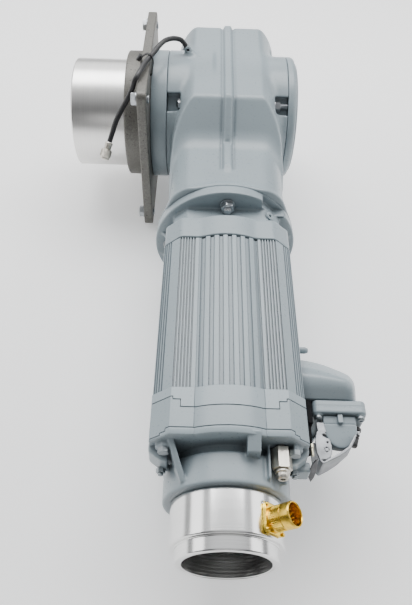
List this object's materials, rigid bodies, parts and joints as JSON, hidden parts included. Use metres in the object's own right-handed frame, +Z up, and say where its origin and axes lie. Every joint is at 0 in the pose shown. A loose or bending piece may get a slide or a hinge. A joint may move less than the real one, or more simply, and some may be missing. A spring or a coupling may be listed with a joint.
{
  "type": "industrial gearbox",
  "caption": "Right-angle helical-worm gearbox with a servomotor, square output flange, hollow output hub, terminal housing, round connector and sensor cord.",
  "frame": {"origin": "centre of the lowest plane of the whole unit, measured without the sensor cord and its connector", "axes": "+Z up, +X along the output axis toward the cover side, +Y along the motor axis from the motor's free end toward the gear housing"},
  "size_m": [0.319, 0.665, 0.217],
  "materials": {
    "grey_paint": "satin",
    "cast_iron": "matte",
    "bright_aluminium": "satin",
    "zinc_plate": "satin",
    "steel": "satin",
    "bronze": "satin",
    "copper": "gloss",
    "gold_plate": "gloss",
    "black_plastic": "matte",
    "black_rubber": "satin"
  },
  "bodies": {
    "gearmotor": {"bearing_shield": "grey_paint", "breather_plug": "grey_paint", "cable_tie": "black_plastic", "connector_insert": "black_plastic", "cord_connector": "steel", "cover_stud_1": "zinc_plate", "cover_stud_2": "zinc_plate", "cover_stud_3": "zinc_plate", "cover_stud_4": "zinc_plate", "drive_end_shield": "grey_paint", "flange_bolt_1": "zinc_plate", "flange_bolt_2": "zinc_plate", "flange_bolt_3": "zinc_plate", "flange_bolt_4": "zinc_plate", "gear_housing": "grey_paint", "hex_fitting": "zinc_plate", "housing_cover": "grey_paint", "latch_screw": "black_plastic", "motor_bearing_front": "steel", "motor_bearing_rear": "steel", "motor_housing": "grey_paint", "motor_shaft_seal": "black_rubber", "motor_stud_1": "zinc_plate", "motor_stud_2": "zinc_plate", "motor_stud_3": "zinc_plate", "motor_stud_4": "zinc_plate", "oil_level_plug": "zinc_plate", "output_bearing_left": "steel", "output_bearing_right": "steel", "output_flange": "cast_iron", "output_ring": "grey_paint", "output_seal_left": "black_rubber", "output_seal_right": "black_rubber", "plug_flange": "grey_paint", "plug_hood": "grey_paint", "rear_end_shield": "grey_paint", "ring_stud_1": "zinc_plate", "ring_stud_2": "zinc_plate", "ring_stud_3": "zinc_plate", "ring_stud_4": "zinc_plate", "round_connector": "gold_plate", "sensor_cord": "black_rubber", "stator_core": "steel", "terminal_dome": "grey_paint", "threaded_sleeve": "bright_aluminium", "winding_front": "copper", "winding_rear": "copper", "worm_bearing_front": "steel", "worm_bearing_rear": "steel", "worm_end_cap": "grey_paint"},
    "output": {"output_hub": "bright_aluminium", "output_shaft": "steel", "worm_wheel": "bronze"},
    "worm": {"worm_shaft": "steel", "helical_gear": "steel"},
    "rotor": {"rotor_shaft": "steel", "rotor_core": "steel"},
    "lever": {"locking_lever": "zinc_plate"},
    "coupling_nut": {"cord_coupling_nut": "zinc_plate"}
  },
  "joints": [
    {"name": "output_spin", "type": "hinge", "parent": "gearmotor", "child": "output", "pos_m": [0.03346, 0.23205, 0.112], "axis": [1, 0, 0], "continuous": true},
    {"name": "worm_spin", "type": "hinge", "parent": "gearmotor", "child": "worm", "pos_m": [0.03346, 0.23205, 0.048], "axis": [0, 1, 0], "continuous": true},
    {"name": "rotor_spin", "type": "hinge", "parent": "gearmotor", "child": "rotor", "pos_m": [0.03346, 0.02305, 0.08], "axis": [0, 1, 0], "continuous": true},
    {"name": "lever_swing", "type": "hinge", "parent": "gearmotor", "child": "lever", "pos_m": [0.12196, -0.22595, 0.082], "axis": [0, 0, 1], "range_deg": [-30, 0]},
    {"name": "nut_spin", "type": "hinge", "parent": "gearmotor", "child": "coupling_nut", "pos_m": [-0.1106, 0.11703, 0.13341], "axis": [-0.3118, -0.5956, -0.7403], "continuous": true}
  ],
  "couplings": [
    {"joint": "worm_spin", "follows": "output_spin", "ratio": -32},
    {"joint": "rotor_spin", "follows": "output_spin", "ratio": 82.286}
  ]
}
